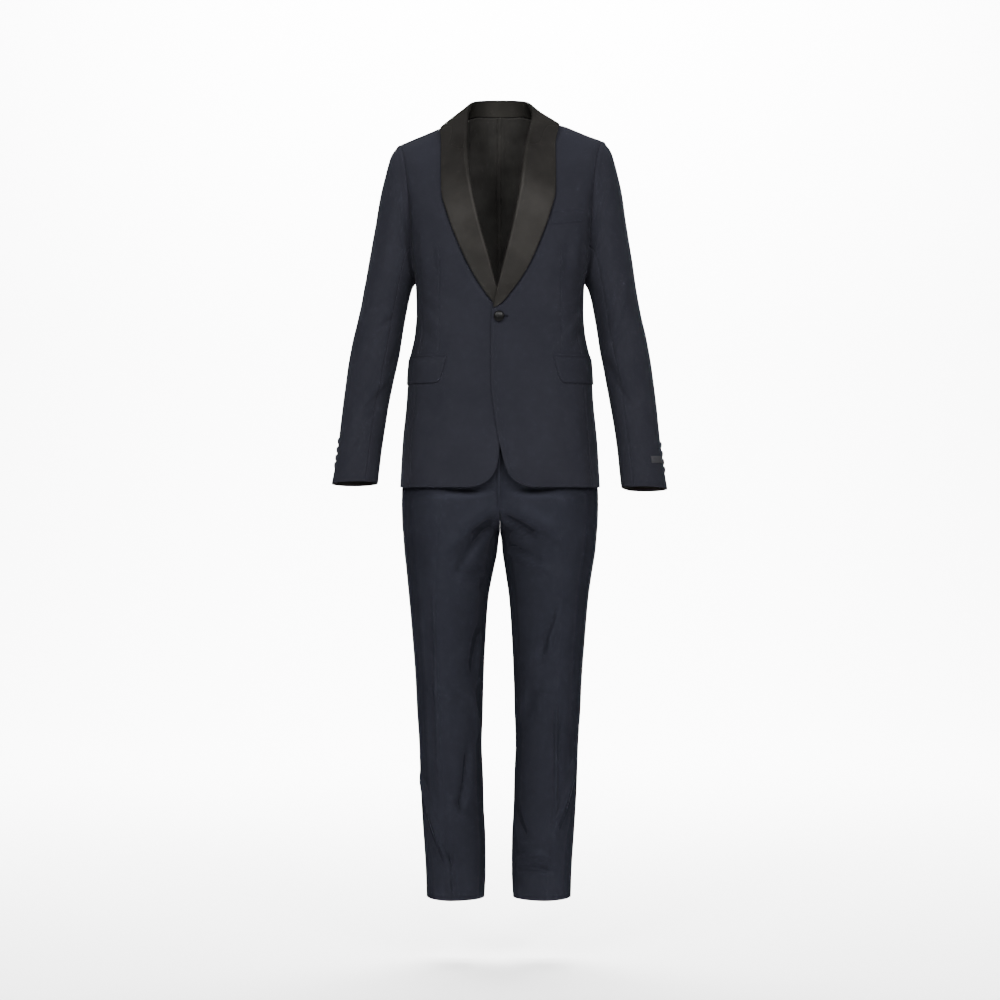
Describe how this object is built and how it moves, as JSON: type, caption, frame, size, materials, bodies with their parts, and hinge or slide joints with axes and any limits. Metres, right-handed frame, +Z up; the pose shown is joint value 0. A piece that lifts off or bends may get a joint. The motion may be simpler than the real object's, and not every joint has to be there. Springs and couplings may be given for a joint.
{
  "type": "tuxedo",
  "caption": "Shawl-collar dinner jacket with satin lapels over matching tapered trousers, hollow and filled out as if worn.",
  "frame": {"origin": "middle of the neck, 23 mm below the neck ends of the shoulder seams, where the wearer holds it up", "axes": "+X towards the wearer's left, +Y towards the wearer's back, +Z up"},
  "size_m": [0.6454, 0.2736, 1.5675],
  "materials": {
    "navy_wool": "fine matt wool twill",
    "trouser_wool": "fine wool, slight sheen",
    "black_satin": "satin with a soft warm sheen",
    "black_lining": "smooth black lining",
    "black_button": "satin black"
  },
  "bodies": {
    "root": {"breast_welt": "navy_wool", "jacket_back_left": "navy_wool", "jacket_back_right": "navy_wool", "jacket_front_left": "navy_wool", "jacket_front_right": "navy_wool", "jacket_side_left": "navy_wool", "jacket_side_right": "navy_wool", "pocket_flap_left": "navy_wool", "pocket_flap_right": "navy_wool", "pocket_jet_left": "navy_wool", "pocket_jet_right": "navy_wool", "top_sleeve_left": "navy_wool", "top_sleeve_right": "navy_wool", "under_sleeve_left": "navy_wool", "under_sleeve_right": "navy_wool", "fly_shield": "trouser_wool", "trouser_back_left": "trouser_wool", "trouser_back_right": "trouser_wool", "trouser_front_left": "trouser_wool", "trouser_front_right": "trouser_wool", "waistband_left": "trouser_wool", "waistband_right": "trouser_wool", "collar_stand": "black_satin", "cuff_label": "black_satin", "front_button": "black_satin", "shawl_collar_left": "black_satin", "shawl_collar_right": "black_satin", "side_stripe_left": "black_satin", "side_stripe_right": "black_satin", "back_lining_left": "black_lining", "back_lining_right": "black_lining", "cuff_button_left_1": "black_button", "cuff_button_left_2": "black_button", "cuff_button_left_3": "black_button", "cuff_button_left_4": "black_button", "cuff_button_right_1": "black_button", "cuff_button_right_2": "black_button", "cuff_button_right_3": "black_button", "cuff_button_right_4": "black_button", "fly_zip": "black_button"}
  },
  "joints": []
}
